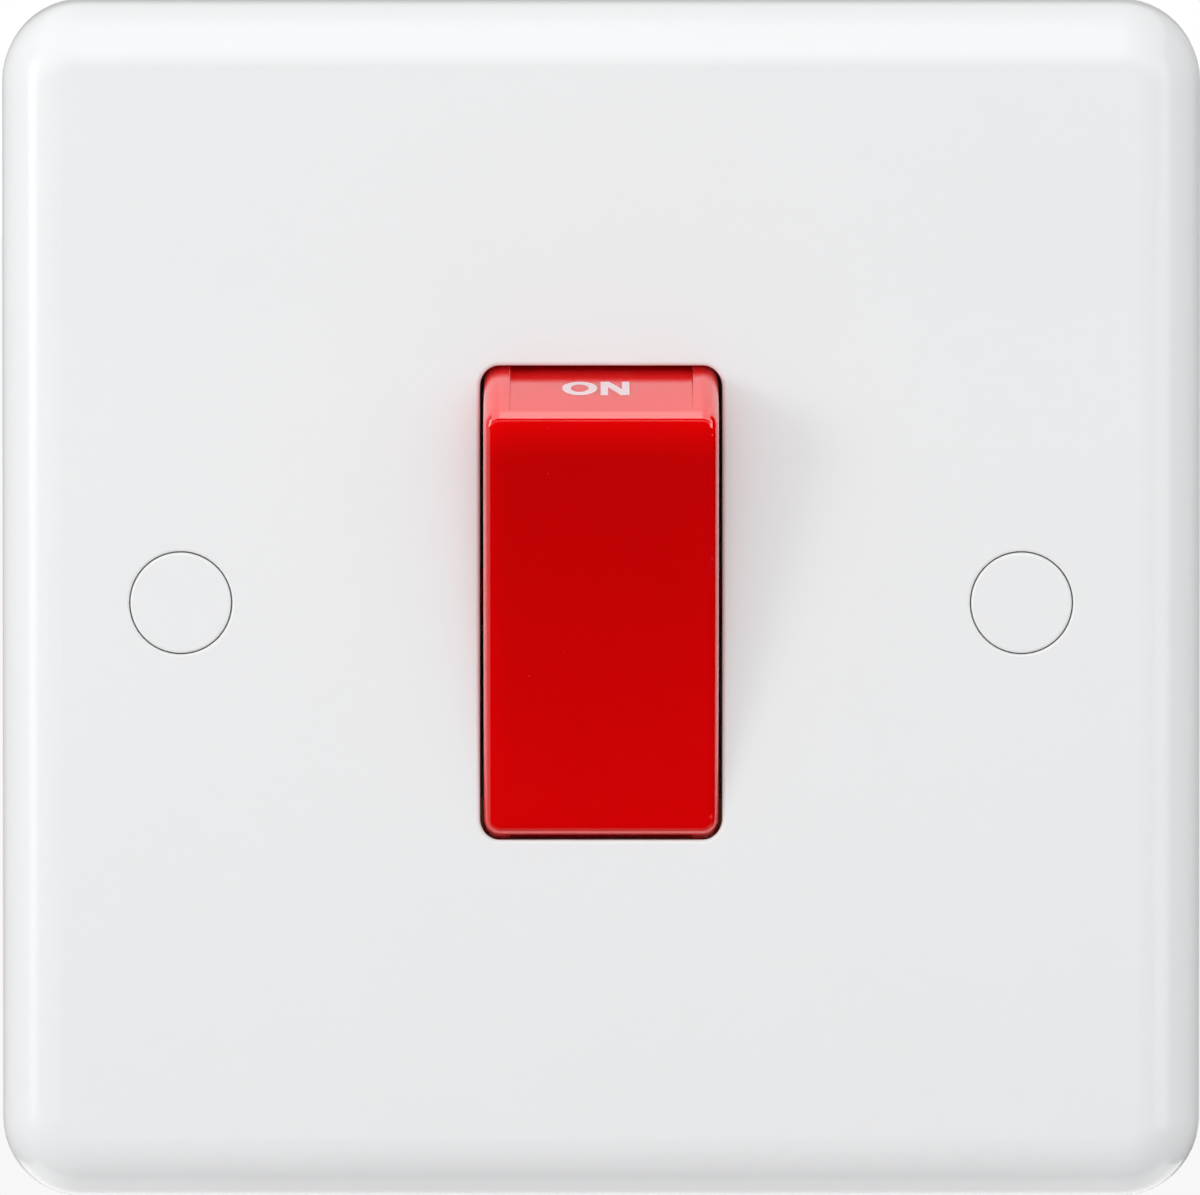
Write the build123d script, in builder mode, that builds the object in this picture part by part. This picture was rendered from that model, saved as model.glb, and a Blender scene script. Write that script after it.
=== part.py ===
from build123d import *
import os
from math import cos, hypot, radians, sin

# Double pole rocker switch on a single moulded wall plate, in millimetres and degrees.
# X points right, Z points up and the front faces -Y. The wall plane is y = 0, and "out"
# is the distance from that plane towards the front, so a place behind it has out < 0.

# Wall plate
PLATE_SIZE = 86.0
PLATE_DEPTH = 9.5
PLATE_SKIN = 2.2
PLATE_CORNER = 5.7
EDGE_ROUND = 4.4
APERTURE_CORNER = 1.4
APERTURE_LIP = 0.3
RIB_THICK = 1.4
RIB_OUT = 2.0
RIB_BITE = 0.2

# Fixing screws and their caps
FIXING_CENTRES = 60.3
FIXING_BOSS_R = 5.4
FIXING_HOLE_R = 2.0
FIXING_SEAT_OUT = 4.2
FIXING_LENGTH = 25.0
THREAD_R = 1.75
SHANK_R = 1.55
THREAD_START = 0.3
THREAD_POINT = 0.6
PAN_HEAD_R = 3.2
PAN_HEAD_HEIGHT = 2.2
PAN_HEAD_ROUND = 0.75
HEAD_CLEARANCE = 0.2
SLOT_WIDTH = 1.0
SLOT_DEPTH = 1.1
CAP_R = 3.62
CAP_GAP = 0.08
CAP_EDGE = 0.2
CAP_RIM = 0.2
CAP_DEPTH = 2.5
CAP_WALL = 0.8

# Rocker
ROCKER_WIDTH = 16.86
ROCKER_FACE_LENGTH = 30.5
ROCKER_FACE_HEIGHT = 9.4
ROCKER_SKIRT = 0.3
ROCKER_WALL = 1.7
ROCKER_CORNER = 1.2
ROCKER_EDGE = 0.9
ROCKER_SIDE_GAP = 0.25
ROCKER_END_GAP = 0.3
PIVOT_DEPTH = 6.8
TILT = 8.5
PANEL_WIDTH = 13.0
PANEL_DROP = 0.55
PANEL_STEP = 0.12
PANEL_LIFT = 0.5
PANEL_ROUND = 0.08
TRUNNION_R = 2.0
TRUNNION_LENGTH = 2.2
TRUNNION_GAP = 0.08
LOBE_R = 3.6
LOBE_RISE = 4.7

# Bearing lugs and collar behind the aperture
LUG_GAP = 0.55
LUG_THICK = 2.2
LUG_WIDTH = 8.0
LUG_OUT = 0.2
COLLAR_THICK = 1.5
COLLAR_OUT = 0.4
COLLAR_GAP = 0.5

# Plungers and springs
POLE_X = 4.4
PLUNGER_R = 1.75
PLUNGER_LENGTH = 8.5
PLUNGER_GAP = 0.1
NOSE_REACH = 10.5
NOSE_GAP = 0.05
SLEEVE_WALL = 0.85
SLEEVE_REACH = 6.0
SLEEVE_BITE = 0.85
SPRING_ROOM = 7.4
SPRING_WIRE = 0.5
SPRING_GAP = 0.25
SPRING_TURNS = 5

# Contact arms
ARM_SWING = 15.0
ARM_WIDTH = 5.0
ARM_THICK = 1.6
ARM_BACK = 0.68
ARM_LOWER = 9.0
ARM_OVERHANG = 0.2
FULCRUM_R = 1.2
FULCRUM_GAP = 0.05
TIP_REACH = 12.0
TIP_R = 2.2
TIP_THICK = 0.9
TIP_GAP = 0.05
STOP_REACH = 6.5
STOP_WIDTH = 2.4

# Strips and terminals
STRIP_WIDTH = 6.0
STRIP_THICK = 1.2
STRIP_END_GAP = 6.4
TERMINAL_X = 8.0
TERMINAL_WIDTH = 11.0
TERMINAL_HEIGHT = 10.0
TERMINAL_DEPTH = 11.0
TERMINAL_CHAMFER = 0.5
WIRE_BORE_R = 3.2
WIRE_BORE_WALL = 1.3
CLAMP_R = 2.5
CLAMP_GAP = 0.05
CLAMP_HEAD_R = 3.1
CLAMP_HEAD_HEIGHT = 1.8
CLAMP_HEAD_ROUND = 0.45
CLAMP_LIFT = 0.3

# Switch base
BASE_WALL = 1.8
BASE_BACK_WALL = 2.6
BASE_FLOOR = 2.6
BASE_CORNER = 1.2
BASE_EDGE = 0.6
WAIST_WALL = 3.0
BARRIER_THICK = 1.6
BARRIER_START = 1.0
BAY_GAP = 0.1
BAY_START = 15.4
WINDOW_R = 3.9
ACCESS_GAP = 0.4
EAR_X = 11.0
EAR_WIDTH = 8.0
EAR_REACH = 6.4
EAR_THICK = 3.0
EAR_CORNER = 1.6
EAR_HOLE_R = 1.6
BASE_SCREW_R = 1.4
BASE_SCREW_GAP = 0.05
BASE_SCREW_BITE = 5.5
BASE_SCREW_POINT = 0.7
BASE_SCREW_HEAD_R = 2.8
BASE_SCREW_HEAD_HEIGHT = 1.8
BASE_SCREW_HEAD_ROUND = 0.6
BASE_SCREW_CROSS = 3.6
BASE_BOSS_R = 3.2
KEEPER_GAP = 0.2
POST_WIDTH = 6.0
POST_THICK = 2.6
POST_GAP = 0.05

# Places that follow from the sizes above
half_rocker = ROCKER_WIDTH / 2
face_half = ROCKER_FACE_LENGTH / 2
end_radius = hypot(face_half, ROCKER_FACE_HEIGHT)
pivot_out = PLATE_DEPTH - PIVOT_DEPTH
skin_out = PLATE_DEPTH - PLATE_SKIN
rib_top = skin_out + RIB_BITE
fixing_x = FIXING_CENTRES / 2
cap_ledge_out = PLATE_DEPTH - CAP_DEPTH
lug_inner = half_rocker + LUG_GAP
lug_outer = lug_inner + LUG_THICK
bearing_r = TRUNNION_R + TRUNNION_GAP
sweep_r = end_radius + ROCKER_END_GAP
collar_half = sweep_r + COLLAR_GAP
bore_r = PLUNGER_R + PLUNGER_GAP
sleeve_r = bore_r + SLEEVE_WALL
plunger_top = PLUNGER_LENGTH - NOSE_REACH
spring_top = plunger_top + SPRING_ROOM
arm_bend = ARM_SWING / 2
arm_front = ARM_BACK + ARM_THICK
fulcrum_y = NOSE_REACH - pivot_out + (PLUNGER_R + NOSE_GAP + arm_front) / cos(radians(arm_bend))
strip_front = fulcrum_y + FULCRUM_R
strip_back = strip_front + STRIP_THICK
tip_face = fulcrum_y - ARM_BACK + TIP_THICK
terminal_z = BAY_START + BAY_GAP + TERMINAL_HEIGHT / 2
terminal_back = strip_back + TERMINAL_DEPTH
wire_y = strip_back + WIRE_BORE_WALL + WIRE_BORE_R
bay_half_width = TERMINAL_WIDTH / 2 + BAY_GAP
bay_end = terminal_z + TERMINAL_HEIGHT / 2 + BAY_GAP
base_half_height = bay_end + BASE_WALL
base_back = terminal_back + BAY_GAP + BASE_BACK_WALL
base_half_width = TERMINAL_X + bay_half_width + BASE_WALL
waist_back = strip_back + BASE_FLOOR
waist_half = lug_inner + WAIST_WALL
ear_z = base_half_height + EAR_REACH / 2

SIDES = {"left": -1, "right": 1}
ENDS = {"supply": -1, "load": 1}
tilt = radians(TILT)
rocker_plane = Plane(origin=(0, -pivot_out, 0), x_dir=(1, 0, 0), z_dir=(0, -cos(tilt), -sin(tilt)))
rocker_side = Plane(origin=rocker_plane.origin, x_dir=rocker_plane.y_dir, z_dir=(1, 0, 0))
pivot_side = Plane(origin=rocker_plane.origin, x_dir=(0, 0, 1), z_dir=(1, 0, 0))

os.makedirs("parts", exist_ok=True)


def facing(out):
    """Plane parallel to the wall, facing the front: local x is X, local y is Z."""
    return Plane.XZ.offset(out)


def behind(y):
    """The same plane at a distance behind the wall plane."""
    return facing(-y)


def contact_side(x):
    """Plane across a pole at its fulcrum: local x is Z, local y points to the front."""
    return Plane(origin=(x, fulcrum_y, 0), x_dir=(0, 0, 1), z_dir=(1, 0, 0))


def write(piece, name):
    piece.part.label = name
    export_step(piece.part, f"parts/{name}.step")


# Space that the rocker's ends sweep, used to cut the aperture
with BuildPart() as aperture:
    with BuildSketch(pivot_side):
        Circle(sweep_r)
    extrude(amount=half_rocker + ROCKER_SIDE_GAP, both=True)
    fillet(aperture.edges().filter_by(GeomType.CIRCLE), APERTURE_CORNER)

# Front plate: hollow moulding with bosses, collar, bearing lugs, ribs and hold-down posts
with BuildPart() as front_plate:
    with BuildSketch(facing(0)):
        RectangleRounded(PLATE_SIZE, PLATE_SIZE, PLATE_CORNER)
    extrude(amount=PLATE_DEPTH)
    fillet(front_plate.faces().sort_by(Axis.Y)[0].edges(), EDGE_ROUND)
    offset(amount=-PLATE_SKIN, openings=front_plate.faces().sort_by(Axis.Y)[-1])
    add(aperture.part, mode=Mode.SUBTRACT)
    lip = front_plate.faces().sort_by(Axis.Y)[0].inner_wires()[0]
    fillet(lip.edges(), APERTURE_LIP)

    # ribs from the collar to the rim, level with the fixings and beside the aperture
    with BuildSketch(facing(RIB_OUT)):
        rib_half = (PLATE_SIZE - PLATE_SKIN) / 2
        rib_run = rib_half - lug_inner
        with GridLocations(lug_inner + rib_half, 0, 2, 1):
            Rectangle(rib_run, RIB_THICK)
        with GridLocations(2 * lug_inner + COLLAR_THICK, collar_half + rib_half, 2, 2):
            Rectangle(RIB_THICK, rib_half - collar_half)
        with GridLocations(EAR_X + rib_half, 2 * ear_z, 2, 2):
            Rectangle(rib_half - EAR_X, RIB_THICK)
    extrude(amount=rib_top - RIB_OUT)

    # collar round the aperture
    with BuildSketch(facing(COLLAR_OUT)):
        Rectangle(2 * (lug_inner + COLLAR_THICK), 2 * (collar_half + COLLAR_THICK))
        Rectangle(2 * lug_inner, 2 * collar_half, mode=Mode.SUBTRACT)
    extrude(amount=rib_top - COLLAR_OUT)

    # bearing lugs, with snap slots open to the rear
    for sign in SIDES.values():
        with BuildSketch(pivot_side.offset(sign * lug_inner)):
            lug_low = LUG_OUT - pivot_out
            lug_high = rib_top - pivot_out
            with Locations((0, (lug_low + lug_high) / 2)):
                Rectangle(LUG_WIDTH, lug_high - lug_low)
        extrude(amount=sign * LUG_THICK)
    with BuildSketch(pivot_side):
        Circle(bearing_r)
        with Locations((0, -pivot_out / 2)):
            Rectangle(2 * bearing_r, pivot_out)
    extrude(amount=lug_outer + COLLAR_THICK, both=True, mode=Mode.SUBTRACT)

    # posts that hold the strips and terminals down
    with BuildSketch(behind(strip_front - POST_GAP)):
        with GridLocations(2 * TERMINAL_X, 2 * terminal_z, 2, 2):
            Rectangle(POST_WIDTH, POST_THICK)
    extrude(amount=strip_front - POST_GAP + rib_top)

    # bosses for the base screws
    with BuildSketch(facing(0)):
        with GridLocations(2 * EAR_X, 2 * ear_z, 2, 2):
            Circle(BASE_BOSS_R)
    extrude(amount=rib_top)
    with BuildSketch(facing(0)):
        with GridLocations(2 * EAR_X, 2 * ear_z, 2, 2):
            Circle(BASE_SCREW_R + BASE_SCREW_GAP)
    extrude(amount=BASE_SCREW_BITE + BASE_SCREW_GAP, mode=Mode.SUBTRACT)

    # bosses for the fixing screws, with the cap's recess, the head's recess and the hole
    with BuildSketch(facing(0)):
        with GridLocations(FIXING_CENTRES, 0, 2, 1):
            Circle(FIXING_BOSS_R)
    extrude(amount=rib_top)
    for radius, low, high in (
        (CAP_R + CAP_GAP, cap_ledge_out, PLATE_DEPTH),
        (PAN_HEAD_R + HEAD_CLEARANCE, FIXING_SEAT_OUT, cap_ledge_out),
        (FIXING_HOLE_R, 0, FIXING_SEAT_OUT),
    ):
        with BuildSketch(facing(low)):
            with GridLocations(FIXING_CENTRES, 0, 2, 1):
                Circle(radius)
        extrude(amount=high - low, mode=Mode.SUBTRACT)
    cap_rims = front_plate.edges().filter_by(GeomType.CIRCLE).filter_by(
        lambda e: abs(e.radius - CAP_R - CAP_GAP) < CAP_GAP / 2
    )
    fillet(cap_rims.group_by(Axis.Y)[0], CAP_RIM)
write(front_plate, "front_plate")

# Screw caps: shallow cups, flush with the plate, standing on the ledge of their recess
for side, sign in SIDES.items():
    with BuildPart() as screw_cap:
        with BuildSketch(facing(cap_ledge_out)):
            with Locations((sign * fixing_x, 0)):
                Circle(CAP_R)
        extrude(amount=CAP_DEPTH)
        fillet(screw_cap.edges().sort_by(Axis.Y)[0], CAP_EDGE)
        with BuildSketch(facing(cap_ledge_out)):
            with Locations((sign * fixing_x, 0)):
                Circle(CAP_R - CAP_WALL)
        extrude(amount=CAP_DEPTH - CAP_WALL, mode=Mode.SUBTRACT)
    write(screw_cap, f"screw_cap_{side}")

# Fixing screws: slotted pan heads, plain necks in the plate, thread behind the wall plane
with BuildPart() as fixing_screws:
    with BuildSketch(facing(FIXING_SEAT_OUT)):
        with GridLocations(FIXING_CENTRES, 0, 2, 1):
            Circle(PAN_HEAD_R)
    extrude(amount=PAN_HEAD_HEIGHT)
    fillet(fixing_screws.edges().group_by(Axis.Y)[0], PAN_HEAD_ROUND)
    with BuildSketch(facing(FIXING_SEAT_OUT + PAN_HEAD_HEIGHT)):
        with GridLocations(FIXING_CENTRES, 0, 2, 1):
            Rectangle(2 * PAN_HEAD_R, SLOT_WIDTH)
    extrude(amount=-SLOT_DEPTH, mode=Mode.SUBTRACT)
    with BuildSketch(facing(FIXING_SEAT_OUT)):
        with GridLocations(FIXING_CENTRES, 0, 2, 1):
            Circle(SHANK_R)
    extrude(amount=-(FIXING_SEAT_OUT + THREAD_START))
    with BuildSketch(behind(THREAD_START)):
        with GridLocations(FIXING_CENTRES, 0, 2, 1):
            Circle(THREAD_R)
    extrude(amount=-(FIXING_LENGTH - FIXING_SEAT_OUT - THREAD_START))
    chamfer(fixing_screws.edges().group_by(Axis.Y)[-1], THREAD_POINT)
write(fixing_screws, "fixing_screws")

# Rocker, standing at its ON stop: a hollow slice of a disc about the trunnions
with BuildPart() as rocker:
    with BuildSketch(rocker_side):
        Circle(end_radius)
        with Locations((0, (ROCKER_SKIRT + ROCKER_FACE_HEIGHT) / 2)):
            Rectangle(2 * end_radius, ROCKER_FACE_HEIGHT - ROCKER_SKIRT, mode=Mode.INTERSECT)
    extrude(amount=half_rocker, both=True)
    end_faces = rocker.faces().filter_by(GeomType.CYLINDER)
    fillet(end_faces.edges().filter_by(GeomType.CIRCLE), ROCKER_CORNER)
    face_top = rocker.faces().sort_by(Axis(rocker_plane.origin, rocker_plane.z_dir))[-1]
    fillet(face_top.edges(), ROCKER_EDGE)

    # hollow inside, open to the rear
    with BuildSketch(rocker_side):
        Circle(end_radius - ROCKER_WALL)
        with Locations((0, (ROCKER_FACE_HEIGHT - ROCKER_WALL) / 2)):
            Rectangle(2 * end_radius, ROCKER_FACE_HEIGHT - ROCKER_WALL, mode=Mode.INTERSECT)
    extrude(amount=half_rocker - ROCKER_WALL, both=True, mode=Mode.SUBTRACT)

    # shallow panel for the lettering, following the curve of each end and deepening to the rear
    panel_top = ROCKER_FACE_HEIGHT - PANEL_DROP
    panel_radius = hypot((end_radius**2 - panel_top**2) ** 0.5, panel_top - PANEL_LIFT) - PANEL_STEP
    with BuildSketch(rocker_side):
        with Locations((0, (ROCKER_SKIRT + panel_top) / 2)):
            Rectangle(2 * (end_radius + PANEL_STEP), panel_top - ROCKER_SKIRT)
        with Locations((0, PANEL_LIFT)):
            Circle(panel_radius, mode=Mode.SUBTRACT)
    extrude(amount=PANEL_WIDTH / 2, both=True, mode=Mode.SUBTRACT)
    panel_rims = [
        edge
        for edge in rocker.edges().filter_by(GeomType.CIRCLE)
        if abs(edge.radius - end_radius) < PANEL_ROUND
        and abs(abs(edge.center().X) - PANEL_WIDTH / 2) < PANEL_ROUND
    ]
    fillet(panel_rims, PANEL_ROUND)

    # lobes and trunnions on both cheeks
    for sign in SIDES.values():
        with BuildSketch(rocker_side.offset(sign * (half_rocker - ROCKER_WALL))):
            Circle(LOBE_R)
            with Locations((0, LOBE_RISE / 2)):
                Rectangle(2 * LOBE_R, LOBE_RISE)
        extrude(amount=sign * ROCKER_WALL)
        with BuildSketch(rocker_side.offset(sign * (half_rocker - ROCKER_WALL))):
            Circle(TRUNNION_R)
        extrude(amount=sign * (ROCKER_WALL + TRUNNION_LENGTH))

    # plunger sleeves
    with BuildSketch(rocker_plane.offset(-SLEEVE_REACH)):
        with GridLocations(2 * POLE_X, 0, 2, 1):
            Circle(sleeve_r)
    extrude(amount=SLEEVE_REACH + ROCKER_FACE_HEIGHT - ROCKER_WALL + SLEEVE_BITE)
    with BuildSketch(rocker_plane.offset(-SLEEVE_REACH)):
        with GridLocations(2 * POLE_X, 0, 2, 1):
            Circle(bore_r)
    extrude(amount=SLEEVE_REACH + spring_top, mode=Mode.SUBTRACT)
write(rocker, "rocker")

# Plungers with round noses, and the coil springs behind them
for side, sign in SIDES.items():
    with BuildPart(rocker_plane) as plunger:
        with BuildSketch(rocker_plane.offset(-NOSE_REACH)):
            with Locations((sign * POLE_X, 0)):
                Circle(PLUNGER_R)
        extrude(amount=PLUNGER_LENGTH)
        with Locations((sign * POLE_X, 0, -NOSE_REACH)):
            Sphere(PLUNGER_R)
    write(plunger, f"plunger_{side}")

    spring_height = SPRING_ROOM - SPRING_WIRE - 2 * NOSE_GAP
    coil_r = bore_r - SPRING_GAP - SPRING_WIRE / 2
    coil_start = plunger_top + SPRING_WIRE / 2 + NOSE_GAP
    with BuildPart() as plunger_spring:
        with BuildLine() as coil:
            Helix(
                pitch=spring_height / SPRING_TURNS,
                height=spring_height,
                radius=coil_r,
                center=rocker_plane.from_local_coords((sign * POLE_X, 0, coil_start)),
                direction=rocker_plane.z_dir,
            )
        with BuildSketch(Plane(origin=coil.line @ 0, z_dir=coil.line % 0)):
            Circle(SPRING_WIRE / 2)
        sweep(path=coil.line, is_frenet=True)
    write(plunger_spring, f"plunger_spring_{side}")

# Contact arms: bent strips that rock on the fulcrum, upper half flat at rest
bend = radians(arm_bend)
swing = radians(ARM_SWING)


def on_lower_half(along, forward):
    """Point of an arm's lower half, from its distance along it and in front of the fulcrum."""
    return (forward * sin(swing) - along * cos(swing), forward * cos(swing) + along * sin(swing))


arm_upper = TIP_REACH + TIP_R + ARM_OVERHANG
for side, sign in SIDES.items():
    pole_plane = contact_side(sign * POLE_X)
    with BuildPart() as contact_arm:
        with BuildSketch(pole_plane):
            with BuildLine():
                Polyline(
                    (arm_front * sin(bend) / cos(bend), arm_front),
                    (arm_upper, arm_front),
                    (arm_upper, ARM_BACK),
                    (ARM_BACK * sin(bend) / cos(bend), ARM_BACK),
                    on_lower_half(ARM_LOWER, ARM_BACK),
                    on_lower_half(ARM_LOWER, arm_front),
                    close=True,
                )
            make_face()
            Circle(FULCRUM_R + FULCRUM_GAP, mode=Mode.SUBTRACT)
        extrude(amount=ARM_WIDTH / 2, both=True)
    write(contact_arm, f"contact_arm_{side}")

    with BuildPart() as moving_tip:
        with BuildSketch(behind(fulcrum_y - ARM_BACK)):
            with Locations((sign * POLE_X, TIP_REACH)):
                Circle(TIP_R)
        extrude(amount=-TIP_THICK)
    write(moving_tip, f"moving_tip_{side}")

    with BuildPart() as fixed_tip:
        with BuildSketch(behind(strip_front)):
            with Locations((sign * POLE_X, TIP_REACH)):
                Circle(TIP_R)
        extrude(amount=strip_front - tip_face - TIP_GAP)
    write(fixed_tip, f"fixed_tip_{side}")

    # strip that carries the arm: fulcrum rib, stop for the OFF position, pad on the terminal
    pad_low = BAY_START + BAY_GAP
    with BuildPart() as supply_strip:
        with BuildSketch(behind(strip_back)):
            strip_top = TIP_REACH - TIP_R - STRIP_END_GAP
            with Locations((sign * POLE_X, (strip_top - pad_low) / 2)):
                Rectangle(STRIP_WIDTH, strip_top + pad_low)
            with Locations((sign * TERMINAL_X, -terminal_z)):
                Rectangle(TERMINAL_WIDTH, TERMINAL_HEIGHT)
        extrude(amount=STRIP_THICK)
        with BuildSketch(pole_plane):
            Circle(FULCRUM_R)
            with Locations((0, -FULCRUM_R / 2)):
                Rectangle(2 * FULCRUM_R, FULCRUM_R)
            stop_top = ARM_BACK - FULCRUM_GAP
            with Locations((-STOP_REACH, (stop_top - FULCRUM_R) / 2)):
                Rectangle(STOP_WIDTH, stop_top + FULCRUM_R)
        extrude(amount=ARM_WIDTH / 2, both=True)
    write(supply_strip, f"supply_strip_{side}")

    with BuildPart() as load_strip:
        with BuildSketch(behind(strip_back)):
            strip_low = TIP_REACH - TIP_R
            with Locations((sign * POLE_X, (strip_low + pad_low) / 2)):
                Rectangle(STRIP_WIDTH, pad_low - strip_low)
            with Locations((sign * TERMINAL_X, terminal_z)):
                Rectangle(TERMINAL_WIDTH, TERMINAL_HEIGHT)
        extrude(amount=STRIP_THICK)
    write(load_strip, f"load_strip_{side}")

    # tunnel terminals, wire bore along Z, tapped from the rear
    for end, way in ENDS.items():
        with BuildPart() as terminal:
            with BuildSketch(behind(strip_back)):
                with Locations((sign * TERMINAL_X, way * terminal_z)):
                    Rectangle(TERMINAL_WIDTH, TERMINAL_HEIGHT)
            extrude(amount=-TERMINAL_DEPTH)
            chamfer(terminal.edges().filter_by(Axis.Y), TERMINAL_CHAMFER)
            with BuildSketch(Plane.XY.offset(way * terminal_z)):
                with Locations((sign * TERMINAL_X, wire_y)):
                    Circle(WIRE_BORE_R)
            extrude(amount=TERMINAL_HEIGHT / 2, both=True, mode=Mode.SUBTRACT)
            with BuildSketch(behind(terminal_back)):
                with Locations((sign * TERMINAL_X, way * terminal_z)):
                    Circle(CLAMP_R + CLAMP_GAP)
            extrude(amount=terminal_back - wire_y, mode=Mode.SUBTRACT)
        write(terminal, f"{end}_terminal_{side}")

# Clamp screws of the terminals, backed off clear of the wire bores
with BuildPart() as terminal_screws:
    clamp_seat = terminal_back + CLAMP_LIFT
    with BuildSketch(behind(clamp_seat)):
        with GridLocations(2 * TERMINAL_X, 2 * terminal_z, 2, 2):
            Circle(CLAMP_R)
    extrude(amount=clamp_seat - wire_y - WIRE_BORE_R - CLAMP_GAP)
    with BuildSketch(behind(clamp_seat)):
        with GridLocations(2 * TERMINAL_X, 2 * terminal_z, 2, 2):
            Circle(CLAMP_HEAD_R)
    extrude(amount=-CLAMP_HEAD_HEIGHT)
    fillet(terminal_screws.edges().group_by(Axis.Y)[-1], CLAMP_HEAD_ROUND)
    with BuildSketch(behind(clamp_seat + CLAMP_HEAD_HEIGHT)):
        with GridLocations(2 * TERMINAL_X, 2 * terminal_z, 2, 2):
            Rectangle(2 * CLAMP_HEAD_R, SLOT_WIDTH)
    extrude(amount=SLOT_DEPTH, mode=Mode.SUBTRACT)
write(terminal_screws, "terminal_screws")

# Switch base: waisted box, open to the front, with deep bays for the terminals
with BuildPart() as switch_base:
    with BuildSketch(facing(0)):
        Rectangle(2 * waist_half, 2 * base_half_height)
    extrude(amount=-waist_back)
    end_block = base_half_height - BAY_START + BASE_WALL
    with BuildSketch(facing(0)):
        with GridLocations(0, 2 * base_half_height - end_block, 1, 2):
            Rectangle(2 * base_half_width, end_block)
    extrude(amount=-base_back)
    fillet(switch_base.edges().filter_by(Axis.Y), BASE_CORNER)
    fillet(switch_base.faces().group_by(Axis.Y)[-1].edges(), BASE_EDGE)

    # mechanism well down to the floor that carries the strips, then the terminal bays
    with BuildSketch(facing(0)):
        Rectangle(2 * lug_inner, 2 * bay_end)
        with GridLocations(0, BAY_START + bay_end, 1, 2):
            Rectangle(2 * (TERMINAL_X + bay_half_width), bay_end - BAY_START)
    extrude(amount=-strip_back, mode=Mode.SUBTRACT)
    with BuildSketch(behind(strip_back)):
        with GridLocations(2 * TERMINAL_X, 2 * terminal_z, 2, 2):
            Rectangle(2 * bay_half_width, TERMINAL_HEIGHT + 2 * BAY_GAP)
    extrude(amount=-(TERMINAL_DEPTH + BAY_GAP), mode=Mode.SUBTRACT)

    # barrier between the poles
    with BuildSketch(behind(strip_back)):
        Rectangle(BARRIER_THICK, 2 * bay_end)
    extrude(amount=strip_back - BARRIER_START)

    # wire windows in both ends, and holes to reach the clamp screws
    for way in ENDS.values():
        with BuildSketch(Plane.XY.offset(way * base_half_height)):
            with GridLocations(2 * TERMINAL_X, 0, 2, 1):
                with Locations((0, wire_y)):
                    Circle(WINDOW_R)
        extrude(amount=-way * BASE_WALL, mode=Mode.SUBTRACT)
    with BuildSketch(behind(base_back)):
        with GridLocations(2 * TERMINAL_X, 2 * terminal_z, 2, 2):
            Circle(CLAMP_HEAD_R + ACCESS_GAP)
    extrude(amount=BASE_BACK_WALL, mode=Mode.SUBTRACT)

    # ears for the base screws
    with BuildSketch(facing(0)) as ears:
        with GridLocations(2 * EAR_X, 2 * ear_z, 2, 2):
            Rectangle(EAR_WIDTH, EAR_REACH)
            Circle(EAR_HOLE_R, mode=Mode.SUBTRACT)
        ear_rows = ears.vertices().group_by(Axis.Y)
        fillet(ear_rows[0] + ear_rows[-1], EAR_CORNER)
    extrude(amount=-EAR_THICK)

    # keepers that close the bearing slots behind the trunnions
    with BuildSketch(facing(0)):
        with GridLocations(lug_inner + lug_outer, 0, 2, 1):
            Rectangle(LUG_THICK - 2 * KEEPER_GAP, 2 * (bearing_r - KEEPER_GAP))
    extrude(amount=pivot_out - bearing_r)
write(switch_base, "switch_base")

# Screws that hold the base to the plate, driven from the rear
with BuildPart() as base_screws:
    with BuildSketch(behind(EAR_THICK)):
        with GridLocations(2 * EAR_X, 2 * ear_z, 2, 2):
            Circle(BASE_SCREW_R)
    extrude(amount=EAR_THICK + BASE_SCREW_BITE)
    chamfer(base_screws.edges().group_by(Axis.Y)[0], BASE_SCREW_POINT)
    with BuildSketch(behind(EAR_THICK)):
        with GridLocations(2 * EAR_X, 2 * ear_z, 2, 2):
            Circle(BASE_SCREW_HEAD_R)
    extrude(amount=-BASE_SCREW_HEAD_HEIGHT)
    fillet(base_screws.edges().group_by(Axis.Y)[-1], BASE_SCREW_HEAD_ROUND)
    with BuildSketch(behind(EAR_THICK + BASE_SCREW_HEAD_HEIGHT)):
        with GridLocations(2 * EAR_X, 2 * ear_z, 2, 2):
            Rectangle(BASE_SCREW_CROSS, SLOT_WIDTH)
            Rectangle(SLOT_WIDTH, BASE_SCREW_CROSS)
    extrude(amount=SLOT_DEPTH, mode=Mode.SUBTRACT)
write(base_screws, "base_screws")
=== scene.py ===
"""Finishes, screw threads, springs, printed mark, studio and camera of a double pole rocker switch.

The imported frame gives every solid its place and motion. Lengths are in metres, and sizes that
a maker would quote are written in millimetres and turned to metres by MM.
"""

import logging
import math
from collections.abc import Sequence
from dataclasses import dataclass, field
from enum import Enum
from typing import Any

import bmesh
import bpy
from mathutils import Matrix, Vector
from mathutils.bvhtree import BVHTree


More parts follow.
